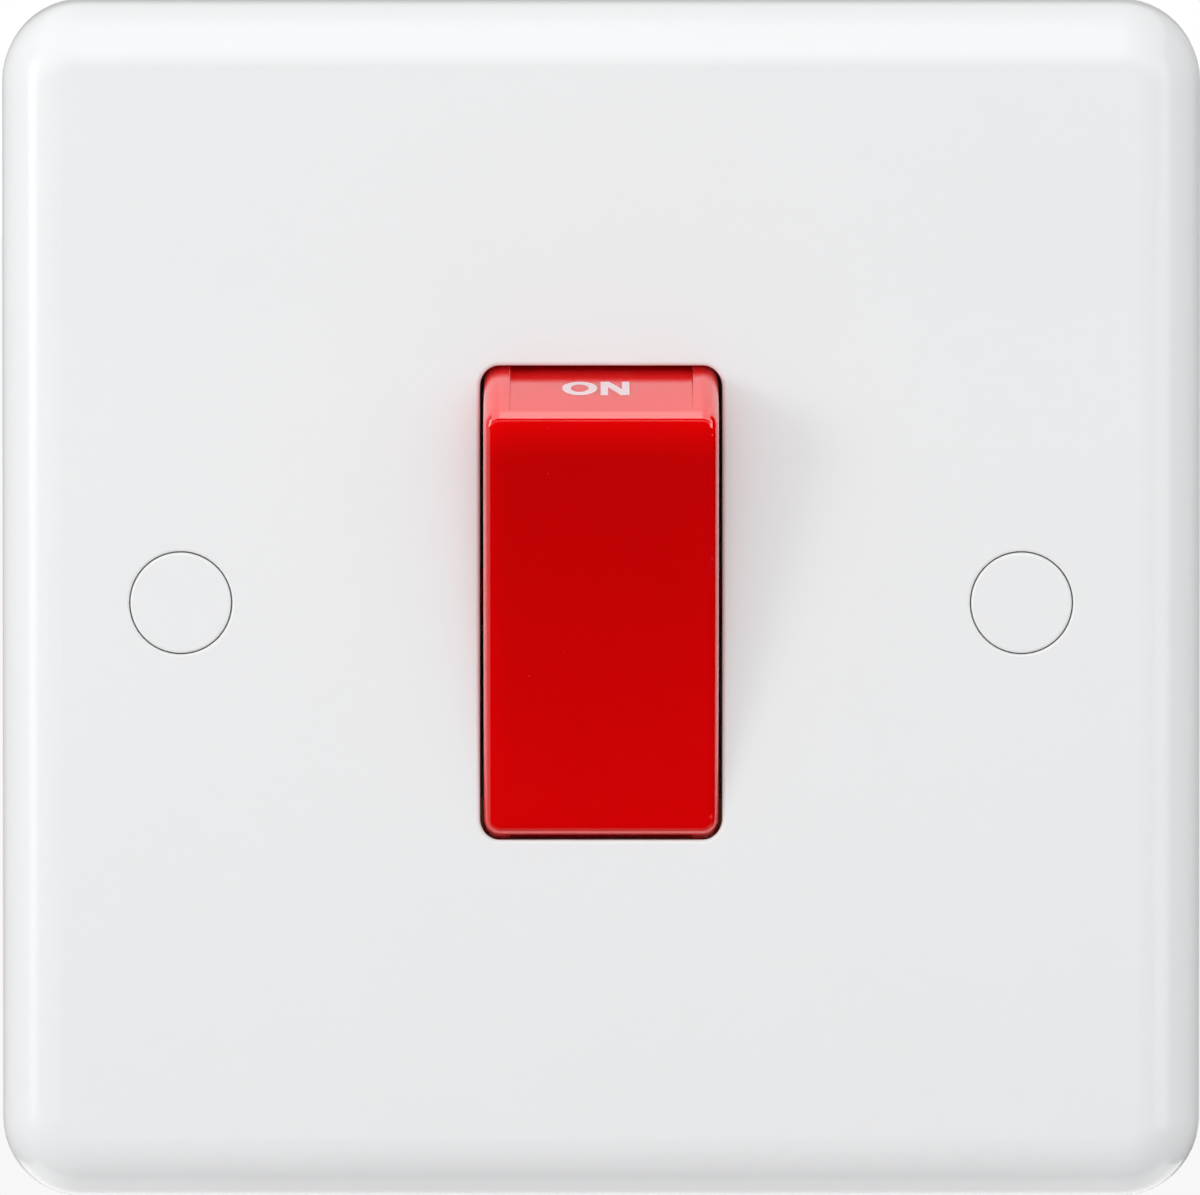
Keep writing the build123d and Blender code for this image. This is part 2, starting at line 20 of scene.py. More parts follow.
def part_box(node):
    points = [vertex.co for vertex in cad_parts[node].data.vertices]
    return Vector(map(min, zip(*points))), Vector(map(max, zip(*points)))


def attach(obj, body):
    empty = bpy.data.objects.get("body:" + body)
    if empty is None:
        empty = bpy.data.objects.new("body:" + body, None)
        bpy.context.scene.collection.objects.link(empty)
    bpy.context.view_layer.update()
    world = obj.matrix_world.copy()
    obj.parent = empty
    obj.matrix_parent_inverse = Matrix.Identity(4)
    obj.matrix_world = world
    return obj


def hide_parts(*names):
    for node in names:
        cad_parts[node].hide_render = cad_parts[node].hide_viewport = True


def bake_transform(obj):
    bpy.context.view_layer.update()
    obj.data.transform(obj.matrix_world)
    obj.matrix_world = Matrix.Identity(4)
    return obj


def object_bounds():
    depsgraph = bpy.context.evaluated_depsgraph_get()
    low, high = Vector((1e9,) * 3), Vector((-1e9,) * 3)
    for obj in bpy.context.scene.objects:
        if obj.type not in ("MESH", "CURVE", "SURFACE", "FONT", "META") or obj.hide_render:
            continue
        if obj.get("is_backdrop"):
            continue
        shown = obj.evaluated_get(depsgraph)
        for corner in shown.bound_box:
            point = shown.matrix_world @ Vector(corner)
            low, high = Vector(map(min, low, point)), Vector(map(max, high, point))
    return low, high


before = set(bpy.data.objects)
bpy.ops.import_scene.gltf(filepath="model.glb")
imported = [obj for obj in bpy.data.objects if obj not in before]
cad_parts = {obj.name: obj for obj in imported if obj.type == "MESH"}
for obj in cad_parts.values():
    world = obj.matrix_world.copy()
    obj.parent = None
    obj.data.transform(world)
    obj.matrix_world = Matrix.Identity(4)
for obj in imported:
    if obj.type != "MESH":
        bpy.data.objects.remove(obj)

MM = 0.001
MERGE = 0.001 * MM  # Distance under which two vertices of a copied solid are one
IMAGE_SIZE = (1200, 1195)

# The sRGB curve: straight up to the knee, a shifted power above it
SRGB_KNEE, SRGB_SLOPE = 0.04045, 12.92
SRGB_SHIFT, SRGB_POWER = 0.055, 2.4

# Sockets of the colour form and of the number form of the Mix node
MIX_FACTOR, MIX_A, MIX_B = 0, 6, 7
MIX_RESULT = 2
FLOAT_A, FLOAT_B = 2, 3
FLOAT_RESULT = 0

# Octaves of the noises, and how strong each octave of the broad ones is beside the one before
FLOW_DETAIL, FLOW_BREAKUP = 3.0, 0.55
SKIN_DETAIL = 2.0
TARNISH_DETAIL, TARNISH_BREAKUP = 4.0, 0.6
MARK_DETAIL = 3.0

log = logging.getLogger("switch")


class Body(Enum):
    """Bodies of the frame that the new pieces ride on."""

    PLATE = "plate"
    ROCKER = "rocker"


class Slot(Enum):
    """Material slots of the record, which no new piece here takes."""

    PLATED_STEEL = "plated_steel"
    SPRING_STEEL = "spring_steel"


class Grain(Enum):
    """Stretch of a metal's working marks along X, Y and Z."""

    EVEN = (1.0, 1.0, 1.0)
    ALONG_Z = (1.0, 1.0, 0.06)
    ALONG_X = (0.06, 1.0, 1.0)
    AROUND_Y = (0.3, 1.0, 0.3)


def linear(colour: str) -> tuple[float, float, float, float]:
    """Turns an sRGB hex colour to linear light.

    Args:
        colour: Six hex digits, with or without a leading mark.

    Returns:
        Red, green, blue and an alpha of 1.
    """
    digits = colour.lstrip("#")
    parts = [int(digits[i : i + 2], 16) / 255 for i in (0, 2, 4)]
    red, green, blue = (
        p / SRGB_SLOPE if p <= SRGB_KNEE else ((p + SRGB_SHIFT) / (1 + SRGB_SHIFT)) ** SRGB_POWER
        for p in parts
    )
    return red, green, blue, 1.0


def add_node(
    tree: bpy.types.NodeTree,
    kind: str,
    settings: dict[str, Any] | None = None,
    values: dict[str | int, Any] | None = None,
    links: dict[str | int, bpy.types.NodeSocket] | None = None,
) -> bpy.types.Node:
    """Adds one node with its settings and links.

    Args:
        tree: Node tree that gets the node.
        kind: Blender's name of the node type.
        settings: Properties of the node.
        values: Numbers and colours set on its input sockets.
        links: Output sockets that feed its inputs.

    Returns:
        The new node.
    """
    node = tree.nodes.new(kind)
    for name, value in (settings or {}).items():
        setattr(node, name, value)
    for socket, value in (values or {}).items():
        node.inputs[socket].default_value = value
    for socket, source in (links or {}).items():
        tree.links.new(source, node.inputs[socket])
    return node


def per_metre(size_mm: float) -> float:
    """Gives the texture scale whose features are about that many millimetres wide."""
    return 1.0 / (size_mm * MM)


def direction(azimuth: float, elevation: float) -> Vector:
    """Gives the unit vector from the switch towards a place in the studio.

    Args:
        azimuth: Degrees round the switch, 0 in front and positive to the right.
        elevation: Degrees above the horizon.

    Returns:
        The vector, of length 1.
    """
    turn, lift = math.radians(azimuth), math.radians(elevation)
    return Vector((math.sin(turn) * math.cos(lift), -math.cos(turn) * math.cos(lift), math.sin(lift)))


def ramp(
    tree: bpy.types.NodeTree, along: bpy.types.NodeSocket, ends_mm: Sequence[float]
) -> bpy.types.NodeSocket:
    """Runs smoothly from 0 to 1 between two places.

    Args:
        tree: Node tree of the material.
        along: Coordinate in metres.
        ends_mm: Places where it is 0 and where it is 1.

    Returns:
        Socket with the ramp.
    """
    start, stop = (mm * MM for mm in ends_mm)
    run = add_node(
        tree, "ShaderNodeMapRange", {"interpolation_type": "SMOOTHSTEP"},
        {"From Min": start, "From Max": stop}, {"Value": along},
    )
    return run.outputs["Result"]


@dataclass(frozen=True)
class Moulding:
    """Plastic as it leaves the mould, smooth or spark textured.

    Attributes:
        name: Common name of the plastic and how it was made.
        colour: Main colour, sRGB hex.
        patch: Colour of the faint flow patches, sRGB hex.
        roughness: Roughness of the smoothest spots.
        roughness_spread: How much rougher the dullest spots are.
        ior: Index of refraction.
        patch_mm: Width of the flow patches.
        skin_mm: Width of the ripples or spark pits in the skin.
        skin_depth_mm: Depth of those ripples.
    """

    name: str
    colour: str
    patch: str
    roughness: float
    roughness_spread: float
    ior: float
    patch_mm: float
    skin_mm: float
    skin_depth_mm: float

    def material(self) -> bpy.types.Material:
        """Builds the plastic: flow patches in the colour, ripples in the skin.

        Returns:
            The finished material.
        """
        material = bpy.data.materials.new(self.name)
        material.use_nodes = True
        tree = material.node_tree
        shader = tree.nodes["Principled BSDF"]
        shader.inputs["IOR"].default_value = self.ior
        place = add_node(tree, "ShaderNodeTexCoord").outputs["Object"]
        flow = add_node(
            tree, "ShaderNodeTexNoise",
            values={"Scale": per_metre(self.patch_mm), "Detail": FLOW_DETAIL, "Roughness": FLOW_BREAKUP},
            links={"Vector": place},
        )
        colour = add_node(
            tree, "ShaderNodeMix", {"data_type": "RGBA"},
            {MIX_A: linear(self.colour), MIX_B: linear(self.patch)},
            {MIX_FACTOR: flow.outputs["Fac"]},
        )
        tree.links.new(colour.outputs[MIX_RESULT], shader.inputs["Base Color"])
        skin = add_node(
            tree, "ShaderNodeTexNoise",
            values={"Scale": per_metre(self.skin_mm), "Detail": SKIN_DETAIL},
            links={"Vector": place},
        )
        gloss = add_node(
            tree, "ShaderNodeMapRange",
            values={"To Min": self.roughness, "To Max": self.roughness + self.roughness_spread},
            links={"Value": flow.outputs["Fac"]},
        )
        tree.links.new(gloss.outputs["Result"], shader.inputs["Roughness"])
        ripple = add_node(
            tree, "ShaderNodeBump",
            values={"Strength": 1.0, "Distance": self.skin_depth_mm * MM},
            links={"Height": skin.outputs["Fac"]},
        )
        tree.links.new(ripple.outputs["Normal"], shader.inputs["Normal"])
        return material


@dataclass(frozen=True)
class TintedMoulding(Moulding):
    """Moulding in a clear tint: light soaks in at the edges, the skin is polished, dust clings to it, and
    shade is painted on up its face.

    Attributes:
        painted_shade: Colour of the painted shade on the face, sRGB hex.
        painted_shade_rise_mm: Heights between which the painted shade darkens.
        painted_shade_fall_mm: Heights between which the painted shade clears again near the top edge.
        show_mm: Distances from the wall plane between which dull hidden sides turn to polished ones.
        hidden_roughness: Roughness of the hidden sides.
        glow: Share of the light that soaks in and comes out nearby.
        glow_mm: How far that light travels under the skin.
        glow_tint: Shares of that way for red, green and blue light.
        skin_ior: Index of refraction of the polished skin.
        skin_roughness: Roughness of the polished skin.
        dust: Colour of a dust speck, sRGB hex.
        dust_spacing_mm: Distance between possible specks.
        dust_mm: Width of a speck.
        dust_share: Share of the places that hold one.
    """

    painted_shade: str
    painted_shade_rise_mm: tuple[float, float]
    painted_shade_fall_mm: tuple[float, float]
    show_mm: tuple[float, float]
    hidden_roughness: float
    glow: float
    glow_mm: float
    glow_tint: tuple[float, float, float]
    skin_ior: float
    skin_roughness: float
    dust: str
    dust_spacing_mm: float
    dust_mm: float
    dust_share: float

    def material(self) -> bpy.types.Material:
        """Builds the plastic, then its glow, its skin, its painted shade and its dust.

        Returns:
            The finished material.
        """
        material = super().material()
        tree = material.node_tree
        shader = tree.nodes["Principled BSDF"]
        shader.inputs["Subsurface Weight"].default_value = self.glow
        shader.inputs["Subsurface Radius"].default_value = self.glow_tint
        shader.inputs["Subsurface Scale"].default_value = self.glow_mm * MM
        shader.inputs["Coat IOR"].default_value = self.skin_ior
        shader.inputs["Coat Roughness"].default_value = self.skin_roughness
        place = add_node(tree, "ShaderNodeTexCoord").outputs["Object"]
        axes = add_node(tree, "ShaderNodeSeparateXYZ", links={"Vector": place})
        polish = ramp(tree, axes.outputs["Y"], [-mm for mm in self.show_mm])
        tree.links.new(polish, shader.inputs["Coat Weight"])
        gloss = shader.inputs["Roughness"].links[0].from_socket
        worn = add_node(
            tree, "ShaderNodeMix", values={FLOAT_A: self.hidden_roughness},
            links={MIX_FACTOR: polish, FLOAT_B: gloss},
        )
        tree.links.new(worn.outputs[FLOAT_RESULT], shader.inputs["Roughness"])
        # Painted shade: the colour darkens up the rocker's face and clears again just under its top edge
        depth = add_node(
            tree, "ShaderNodeMath", {"operation": "MULTIPLY"},
            links={
                0: ramp(tree, axes.outputs["Z"], self.painted_shade_rise_mm),
                1: ramp(tree, axes.outputs["Z"], self.painted_shade_fall_mm[::-1]),
            },
        )
        plain = shader.inputs["Base Color"].links[0].from_socket
        with_painted_shade = add_node(
            tree, "ShaderNodeMix", {"data_type": "RGBA"}, {MIX_B: linear(self.painted_shade)},
            {MIX_FACTOR: depth.outputs["Value"], MIX_A: plain},
        )
        dusty = add_node(
            tree, "ShaderNodeMix", {"data_type": "RGBA"}, {MIX_B: linear(self.dust)},
            {MIX_FACTOR: self.specks(tree, place), MIX_A: with_painted_shade.outputs[MIX_RESULT]},
        )
        tree.links.new(dusty.outputs[MIX_RESULT], shader.inputs["Base Color"])
        return material

    def specks(self, tree: bpy.types.NodeTree, place: bpy.types.NodeSocket) -> bpy.types.NodeSocket:
        """Scatters round specks of dust, each in a cell of its own.

        Args:
            tree: Node tree of the material.
            place: Object coordinates.

        Returns:
            Socket that is 1 on a speck and 0 elsewhere.
        """
        cells = add_node(
            tree, "ShaderNodeTexVoronoi",
            values={"Scale": per_metre(self.dust_spacing_mm)}, links={"Vector": place},
        )
        near = add_node(
            tree, "ShaderNodeMath", {"operation": "LESS_THAN"},
            {1: self.dust_mm / self.dust_spacing_mm / 2}, {0: cells.outputs["Distance"]},
        )
        draw = add_node(tree, "ShaderNodeSeparateColor", links={"Color": cells.outputs["Color"]})
        held = add_node(
            tree, "ShaderNodeMath", {"operation": "LESS_THAN"},
            {1: self.dust_share}, {0: draw.outputs["Red"]},
        )
        speck = add_node(
            tree, "ShaderNodeMath", {"operation": "MULTIPLY"},
            links={0: near.outputs["Value"], 1: held.outputs["Value"]},
        )
        return speck.outputs["Value"]


@dataclass(frozen=True)
class Metal:
    """Bare or plated metal with working marks and tarnish.

    Attributes:
        name: Common name of the metal and how its surface was made.
        colour: Clean metal, sRGB hex.
        tarnish: Handled or oxidised metal, sRGB hex.
        roughness: Roughness of the clean metal.
        roughness_spread: How much duller the tarnish is.
        tarnish_mm: Width of the tarnished patches.
        mark_mm: Spacing of the working marks.
        mark_depth_mm: Depth of those marks.
        grain: Which way the marks run.
    """

    name: str
    colour: str
    tarnish: str
    roughness: float
    roughness_spread: float
    tarnish_mm: float
    mark_mm: float
    mark_depth_mm: float
    grain: Grain

    def material(self) -> bpy.types.Material:
        """Builds the metal: tarnish in the colour and gloss, marks in the relief.

        Returns:
            The finished material.
        """
        material = bpy.data.materials.new(self.name)
        material.use_nodes = True
        tree = material.node_tree
        shader = tree.nodes["Principled BSDF"]
        shader.inputs["Metallic"].default_value = 1.0
        place = add_node(tree, "ShaderNodeTexCoord").outputs["Object"]
        patches = add_node(
            tree, "ShaderNodeTexNoise",
            values={
                "Scale": per_metre(self.tarnish_mm), "Detail": TARNISH_DETAIL, "Roughness": TARNISH_BREAKUP,
            },
            links={"Vector": place},
        )
        colour = add_node(
            tree, "ShaderNodeMix", {"data_type": "RGBA"},
            {MIX_A: linear(self.colour), MIX_B: linear(self.tarnish)},
            {MIX_FACTOR: patches.outputs["Fac"]},
        )
        tree.links.new(colour.outputs[MIX_RESULT], shader.inputs["Base Color"])
        gloss = add_node(
            tree, "ShaderNodeMapRange",
            values={"To Min": self.roughness, "To Max": self.roughness + self.roughness_spread},
            links={"Value": patches.outputs["Fac"]},
        )
        tree.links.new(gloss.outputs["Result"], shader.inputs["Roughness"])
        run = add_node(
            tree, "ShaderNodeMapping", values={"Scale": self.grain.value}, links={"Vector": place}
        )
        marks = add_node(
            tree, "ShaderNodeTexNoise",
            values={"Scale": per_metre(self.mark_mm), "Detail": MARK_DETAIL},
            links={"Vector": run.outputs["Vector"]},
        )
        relief = add_node(
            tree, "ShaderNodeBump",
            values={"Strength": 1.0, "Distance": self.mark_depth_mm * MM},
            links={"Height": marks.outputs["Fac"]},
        )
        tree.links.new(relief.outputs["Normal"], shader.inputs["Normal"])
        return material


# Glossy white urea: bright, cool white, mirror-like at a glance with a faint waviness
WHITE_UREA = Moulding(
    "White urea moulding", colour="#ECEDEE", patch="#EAEBEC", roughness=0.16, roughness_spread=0.05,
    ior=1.5, patch_mm=16.0, skin_mm=1.1, skin_depth_mm=0.0006,
)
# Red urea: deep saturated red that glows at its edges, with shade painted darker up its face, under a
# polished skin with a little dust
RED_UREA = TintedMoulding(
    "Red urea moulding", colour="#FC0002", patch="#F70002", roughness=0.07, roughness_spread=0.03,
    ior=1.58, patch_mm=9.0, skin_mm=0.9, skin_depth_mm=0.0006,
    # Painted shade: darker red up the face, clearing again near its top edge
    painted_shade="#D10002", painted_shade_rise_mm=(-40.0, 13.0), painted_shade_fall_mm=(10.0, 14.5), show_mm=(6.0, 7.5),
    hidden_roughness=0.6, glow=0.6, glow_mm=3.0, glow_tint=(1.0, 0.05, 0.05), skin_ior=2.1,
    skin_roughness=0.06, dust="#E07A78", dust_spacing_mm=1.3, dust_mm=0.08, dust_share=0.16,
)
# Off-white nylon base: warm white with the even matt of a spark-eroded mould
BASE_NYLON = Moulding(
    "Off-white nylon moulding", colour="#E4E3DC", patch="#DCDAD1", roughness=0.42, roughness_spread=0.12,
    ior=1.53, patch_mm=7.0, skin_mm=0.35, skin_depth_mm=0.012,
)
# Natural nylon: milky cream, slightly waxy
PLUNGER_NYLON = Moulding(
    "Natural nylon moulding", colour="#E6E0CB", patch="#DCD4BA", roughness=0.35, roughness_spread=0.1,
    ior=1.53, patch_mm=3.0, skin_mm=0.5, skin_depth_mm=0.004,
)
# White pad-print ink: flat and thin, with a blush of the red under it
MARK_INK = Moulding(
    "White pad-print ink", colour="#EFDCE1", patch="#E9D5DA", roughness=0.45, roughness_spread=0.1,
    ior=1.5, patch_mm=0.4, skin_mm=0.12, skin_depth_mm=0.001,
)
# Zinc plate over steel: bluish silver, soft reflections, cloudy passivation
ZINC_PLATE = Metal(
    "Zinc-plated steel", colour="#C9CED2", tarnish="#B4B8B6", roughness=0.24, roughness_spread=0.14,
    tarnish_mm=1.6, mark_mm=0.25, mark_depth_mm=0.002, grain=Grain.AROUND_Y,
)
# Drawn spring wire: darker steel with an oily sheen
SPRING_WIRE = Metal(
    "Drawn spring steel", colour="#9B9DA1", tarnish="#7F8084", roughness=0.22, roughness_spread=0.12,
    tarnish_mm=0.9, mark_mm=0.12, mark_depth_mm=0.001, grain=Grain.EVEN,
)
# Rolled copper strip: salmon red with brown handling stains along the roll
ROLLED_COPPER = Metal(
    "Rolled copper", colour="#D98F6C", tarnish="#B06B4A", roughness=0.26, roughness_spread=0.16,
    tarnish_mm=3.2, mark_mm=0.22, mark_depth_mm=0.0015, grain=Grain.ALONG_Z,
)
# Silver alloy contact: pale, satin from rolling
CONTACT_SILVER = Metal(
    "Silver contact alloy", colour="#E2DFD8", tarnish="#C9C4B8", roughness=0.3, roughness_spread=0.1,
    tarnish_mm=0.8, mark_mm=0.15, mark_depth_mm=0.001, grain=Grain.EVEN,
)
# Milled brass: straw yellow, fine cutter marks
MILLED_BRASS = Metal(
    "Milled brass", colour="#D8B565", tarnish="#BE9747", roughness=0.22, roughness_spread=0.14,
    tarnish_mm=2.4, mark_mm=0.2, mark_depth_mm=0.002, grain=Grain.ALONG_X,
)
# White seamless paper: even and dull
FLOOR_PAPER = Moulding(
    "White seamless paper", colour="#DCDCDC", patch="#D9D9D9", roughness=0.6, roughness_spread=0.1,
    ior=1.45, patch_mm=40.0, skin_mm=0.6, skin_depth_mm=0.004,
)

NODE_FINISHES: dict[Moulding | Metal, tuple[str, ...]] = {
    WHITE_UREA: ("front_plate", "screw_cap_left", "screw_cap_right"),
    RED_UREA: ("rocker",),
    BASE_NYLON: ("switch_base",),
    PLUNGER_NYLON: ("plunger_left", "plunger_right"),
    ZINC_PLATE: ("fixing_screws", "base_screws", "terminal_screws"),
    SPRING_WIRE: ("plunger_spring_left", "plunger_spring_right"),
    ROLLED_COPPER: (
        "contact_arm_left", "contact_arm_right", "supply_strip_left", "supply_strip_right",
        "load_strip_left", "load_strip_right",
    ),
    CONTACT_SILVER: ("moving_tip_left", "moving_tip_right", "fixed_tip_left", "fixed_tip_right"),
    MILLED_BRASS: (
        "supply_terminal_left", "supply_terminal_right", "load_terminal_left", "load_terminal_right",
    ),
}


def new_piece(name: str, shape: bmesh.types.BMesh, material: bpy.types.Material) -> bpy.types.Object:
    """Makes an object at the origin from a finished bmesh.

    Args:
        name: Name of the piece.
        shape: Mesh in the frame's own place, freed here.
        material: Finish of the piece.

    Returns:
        The linked object.
    """
    mesh = bpy.data.meshes.new(name)
    shape.to_mesh(mesh)
    shape.free()
    mesh.materials.append(material)
    piece = bpy.data.objects.new(name, mesh)
    bpy.context.scene.collection.objects.link(piece)
    return piece


def merged_copy(node: str) -> bmesh.types.BMesh:
    """Copies a solid's loose triangles and joins them to a closed mesh.

    Args:
        node: Name of the solid in the frame.

    Returns:
        The copy, for the caller to shape and free.
    """
    shape = bmesh.new()
    shape.from_mesh(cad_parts[node].data)
    bmesh.ops.remove_doubles(shape, verts=shape.verts[:], dist=MERGE)
    return shape


def shade(shape: bmesh.types.BMesh, crease: float) -> None:
    """Shades a mesh smooth and keeps its real edges sharp.

    Args:
        shape: Mesh to shade.
        crease: Angle in degrees from which an edge stays sharp.
    """
    for face in shape.faces:
        face.smooth = True
    for edge in shape.edges:
        edge.smooth = edge.is_manifold and edge.calc_face_angle() < math.radians(crease)


def cut_flat(shape: bmesh.types.BMesh, y: float, side: int) -> None:
    """Cuts a mesh off along a plane parallel to the wall and closes the cut.

    Args:
        shape: Mesh to cut.
        y: Place of the cut.
        side: 1 to drop what lies behind it, -1 to drop what lies in front.
    """
    cut = bmesh.ops.bisect_plane(
        shape, geom=shape.verts[:] + shape.edges[:] + shape.faces[:], dist=MERGE / 10,
        plane_co=(0, y, 0), plane_no=(0, side, 0), clear_outer=True,
    )
    rims = [e for e in cut["geom_cut"] if isinstance(e, bmesh.types.BMEdge)]
    bmesh.ops.contextual_create(shape, geom=rims)


@dataclass
class Finishes:
    """Materials by finish, made once and shared by the pieces."""

    made: dict[Moulding | Metal, bpy.types.Material] = field(default_factory=dict)

    def get(self, finish: Moulding | Metal) -> bpy.types.Material:
        """Gives the material of a finish, and makes it the first time.

        Args:
            finish: Plastic or metal to look up.

        Returns:
            The one material of that finish.
        """
        if finish not in self.made:
            self.made[finish] = finish.material()
        return self.made[finish]

    def dress_nodes(self) -> None:
        """Gives every solid of the frame its finish."""
        for finish, names in NODE_FINISHES.items():
            for name in names:
                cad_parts[name].data.materials[0] = self.get(finish)
                log.info("%s: %s", name, finish.name)


@dataclass
class FixingScrews:
    """Two machine screws with real threads in place of the plain shanks.

    Attributes:
        head_r: Radius of the pan head.
        thread_r: Radius over the thread's crests.
        pitch: Distance between two crests.
        depth: Height of the thread form.
        crest: Width of the flat on a crest.
        start: Distance of the first full thread behind the wall plane.
        point: Length of the bevelled end.
        steps: Steps of the helix in one turn.
        crease: Angle in degrees from which an edge stays sharp.
    """

    head_r: float = 3.2 * MM
    thread_r: float = 1.75 * MM
    pitch: float = 0.6 * MM
    depth: float = 0.33 * MM
    crest: float = 0.1 * MM
    start: float = 0.3 * MM
    point: float = 0.6 * MM
    steps: int = 28
    crease: float = 28.0

    def build(self, finishes: Finishes) -> bpy.types.Object:
        """Builds both screws as one piece that replaces the plain ones.

        Args:
            finishes: Materials to take the plating from.

        Returns:
            The piece, riding on the plate.
        """
        low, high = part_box("fixing_screws")
        shape = merged_copy("fixing_screws")
        cut_flat(shape, self.start, 1)
        for x in (low.x + self.head_r, high.x - self.head_r):
            self.add_thread(shape, x, high.y)
        shade(shape, self.crease)
        piece = new_piece("fixing_screws_threaded", shape, finishes.get(ZINC_PLATE))
        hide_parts("fixing_screws")
        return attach(piece, Body.PLATE.value)

    def add_thread(self, shape: bmesh.types.BMesh, x: float, end: float) -> None:
        """Adds one threaded shank.

        Args:
            shape: Mesh that gets the thread.
            x: Place of the screw's axis.
            end: How far behind the wall plane the screw reaches.
        """
        thread = bmesh.new()
        root = self.thread_r - self.depth
        flank = (self.pitch - 2 * self.crest) / 2
        begin = self.start - self.pitch
        profile = [
            (root, begin),
            (root, begin + self.crest),
            (self.thread_r, begin + self.crest + flank),
            (self.thread_r, begin + 2 * self.crest + flank),
            (root, begin + self.pitch),
        ]
        points = [thread.verts.new((r, y, 0)) for r, y in profile]
        edges = [thread.edges.new(pair) for pair in zip(points, points[1:])]
        turns = math.ceil((end - begin) / self.pitch) + 1
        bmesh.ops.spin(
            thread, geom=points + edges, cent=(0, 0, 0), axis=(0, 1, 0),
            dvec=(0, self.pitch / self.steps, 0), angle=2 * math.pi * turns, steps=self.steps * turns,
            use_merge=False, use_duplicate=False,
        )
        bmesh.ops.remove_doubles(thread, verts=thread.verts[:], dist=2 * MERGE)
        cut_flat(thread, self.start, -1)
        cut_flat(thread, end, 1)
        bmesh.ops.recalc_face_normals(thread, faces=thread.faces[:])
        for vert in thread.verts:
            radius = math.hypot(vert.co.x, vert.co.z)
            limit = self.thread_r - max(0.0, vert.co.y - end + self.point)
            if radius > limit:
                vert.co.x *= limit / radius
                vert.co.z *= limit / radius
        bmesh.ops.translate(thread, verts=thread.verts[:], vec=(x, 0, 0))
        mesh = bpy.data.meshes.new("thread")
        thread.to_mesh(mesh)
        thread.free()
        shape.from_mesh(mesh)
        bpy.data.meshes.remove(mesh)


@dataclass
class PlungerSpring:
    """Coil spring in the rocker's sleeve; the real one shortens when its plunger slides in.

    Attributes:
        side: Pole that it belongs to, left or right.
        crease: Angle in degrees from which an edge stays sharp.
    """

    side: str
    crease: float = 50.0

    def build(self, finishes: Finishes) -> bpy.types.Object:
        """Makes a smooth shaded copy of the coil in place of the plain one.

        Args:
            finishes: Materials to take the wire from.

        Returns:
            The piece, fixed in the frame's own place.
        """
        node, body = f"plunger_spring_{self.side}", f"plunger_{self.side}"
        shape = merged_copy(node)
        shade(shape, self.crease)
        piece = new_piece(f"{node}_coil", shape, finishes.get(SPRING_WIRE))
        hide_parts(node)
        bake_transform(piece)
        return piece


